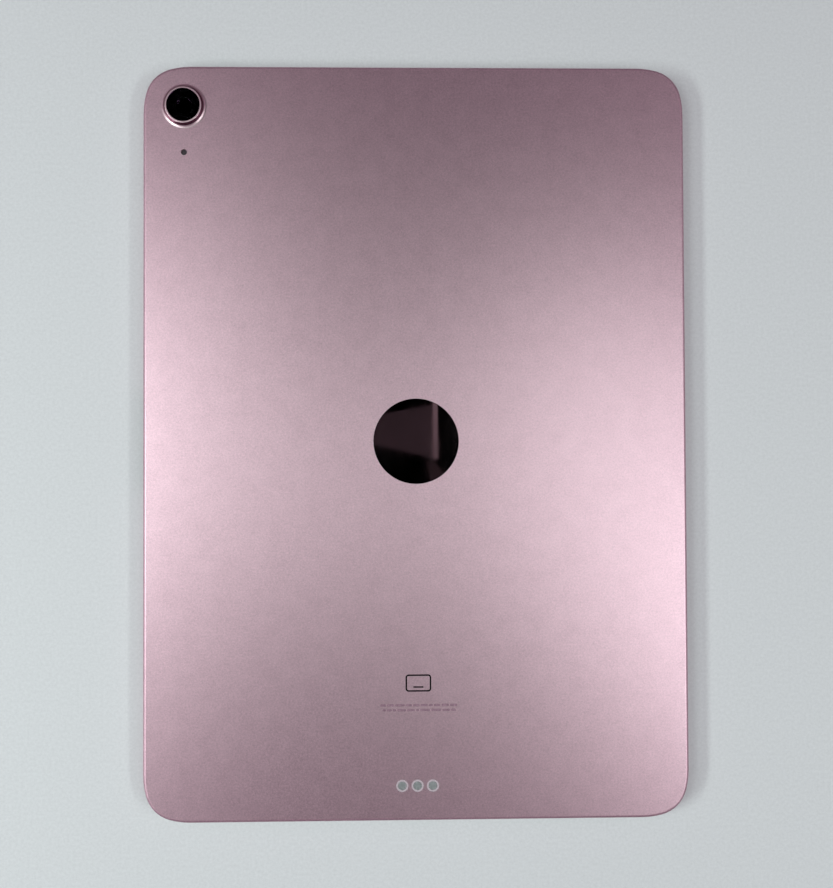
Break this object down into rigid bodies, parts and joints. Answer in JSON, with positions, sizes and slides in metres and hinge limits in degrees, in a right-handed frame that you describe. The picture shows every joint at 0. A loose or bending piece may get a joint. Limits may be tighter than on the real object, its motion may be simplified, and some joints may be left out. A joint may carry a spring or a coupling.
{
  "type": "tablet computer",
  "caption": "Slim tablet computer with a pink aluminium back, raised round camera ring, side buttons, charging port and glass display, with its inner pieces.",
  "frame": {"origin": "centre of the cover glass's outer face, which is what the tablet lies on", "axes": "+Z out of the aluminium back, +Y up the tablet from the charging port to the top button, +X to the right as seen from the back"},
  "size_m": [0.1788, 0.2479, 0.0074],
  "materials": {
    "anodised_aluminium": "fine bead-blasted, anodised pale pink",
    "polished_aluminium": "diamond-cut and anodised pale pink",
    "mirror_metal": "polished to a mirror",
    "cover_glass": "clear, polished",
    "lens_glass": "clear, coated",
    "dark_window": "dark polished sapphire",
    "black_print": "matt black print",
    "display_panel": "glossy black",
    "white_diffuser": "white film",
    "clear_adhesive": "clear",
    "black_plastic": "fine matt",
    "black_adhesive": "matt foam tape",
    "pink_polymer": "smooth moulded",
    "battery_pouch": "matt laminated foil",
    "circuit_board": "solder resist",
    "chip_package": "moulded epoxy",
    "ribbon_cable": "polyimide film",
    "sheet_steel": "brushed",
    "woven_steel": "fine woven mesh",
    "gold_contact": "gold plated",
    "contact_metal": "satin plated",
    "nickel_plate": "nickel plated",
    "graphite_sheet": "matt graphite film",
    "copper_coil": "lacquered copper wire"
  },
  "bodies": {
    "tablet": {"rear_enclosure": "anodised_aluminium", "cover_glass": "cover_glass", "bezel_mask": "black_print", "display_frame": "black_plastic", "display_adhesive": "black_adhesive", "optical_adhesive": "clear_adhesive", "lcd_cell": "display_panel", "backlight_unit": "white_diffuser", "display_tray": "sheet_steel", "display_flex": "ribbon_cable", "battery_cell_left": "battery_pouch", "battery_cell_right": "battery_pouch", "battery_adhesive_strips": "white_diffuser", "battery_protection_boards": "circuit_board", "logic_board": "circuit_board", "logic_shield_rear": "sheet_steel", "logic_shield_front": "sheet_steel", "processor_chip": "chip_package", "board_chips": "chip_package", "board_standoffs": "nickel_plate", "thermal_sheet": "graphite_sheet", "speaker_top_left": "black_plastic", "speaker_top_right": "black_plastic", "speaker_bottom_left": "black_plastic", "speaker_bottom_right": "black_plastic", "speaker_diaphragms": "black_adhesive", "usb_port_shell": "sheet_steel", "usb_port_tongue": "black_plastic", "usb_port_contacts": "gold_contact", "usb_port_bracket": "sheet_steel", "usb_flex": "ribbon_cable", "top_button_dome": "nickel_plate", "top_button_bracket": "sheet_steel", "volume_up_dome": "nickel_plate", "volume_down_dome": "nickel_plate", "volume_bracket": "sheet_steel", "volume_flex": "ribbon_cable", "camera_trim_ring": "polished_aluminium", "camera_cover_glass": "lens_glass", "camera_housing": "black_plastic", "camera_sensor_board": "circuit_board", "microphones": "chip_package", "acoustic_meshes": "woven_steel", "connector_pads": "contact_metal", "connector_insulators": "pink_polymer", "connector_board": "circuit_board", "front_camera_and_light_sensor": "black_plastic", "cover_magnets": "nickel_plate", "stylus_charge_window": "black_plastic", "stylus_charge_coil": "copper_coil", "wireless_antennas": "black_plastic", "rear_emblem": "mirror_metal", "internal_screws": "nickel_plate"},
    "top_button": {"top_button_cap": "anodised_aluminium", "fingerprint_window": "dark_window", "fingerprint_sensor": "chip_package"},
    "volume_up": {"volume_up_cap": "anodised_aluminium"},
    "volume_down": {"volume_down_cap": "anodised_aluminium"},
    "camera_lens": {"camera_lens_barrel": "black_plastic", "camera_lenses": "lens_glass"}
  },
  "joints": [
    {"name": "top_button_press", "type": "slide", "parent": "tablet", "child": "top_button", "axis": [0, -1, 0], "range_m": [0, 0.00025], "stiffness_N_per_m": 6000, "springref_m": -0.00005, "deforming": ["top_button_dome"]},
    {"name": "volume_up_press", "type": "slide", "parent": "tablet", "child": "volume_up", "axis": [1, 0, 0], "range_m": [0, 0.00025], "stiffness_N_per_m": 6000, "springref_m": -0.00005, "deforming": ["volume_up_dome"]},
    {"name": "volume_down_press", "type": "slide", "parent": "tablet", "child": "volume_down", "axis": [1, 0, 0], "range_m": [0, 0.00025], "stiffness_N_per_m": 6000, "springref_m": -0.00005, "deforming": ["volume_down_dome"]},
    {"name": "lens_focus", "type": "slide", "parent": "tablet", "child": "camera_lens", "axis": [0, 0, 1], "range_m": [0, 0.00025], "stiffness_N_per_m": 100, "springref_m": -0.00005}
  ]
}
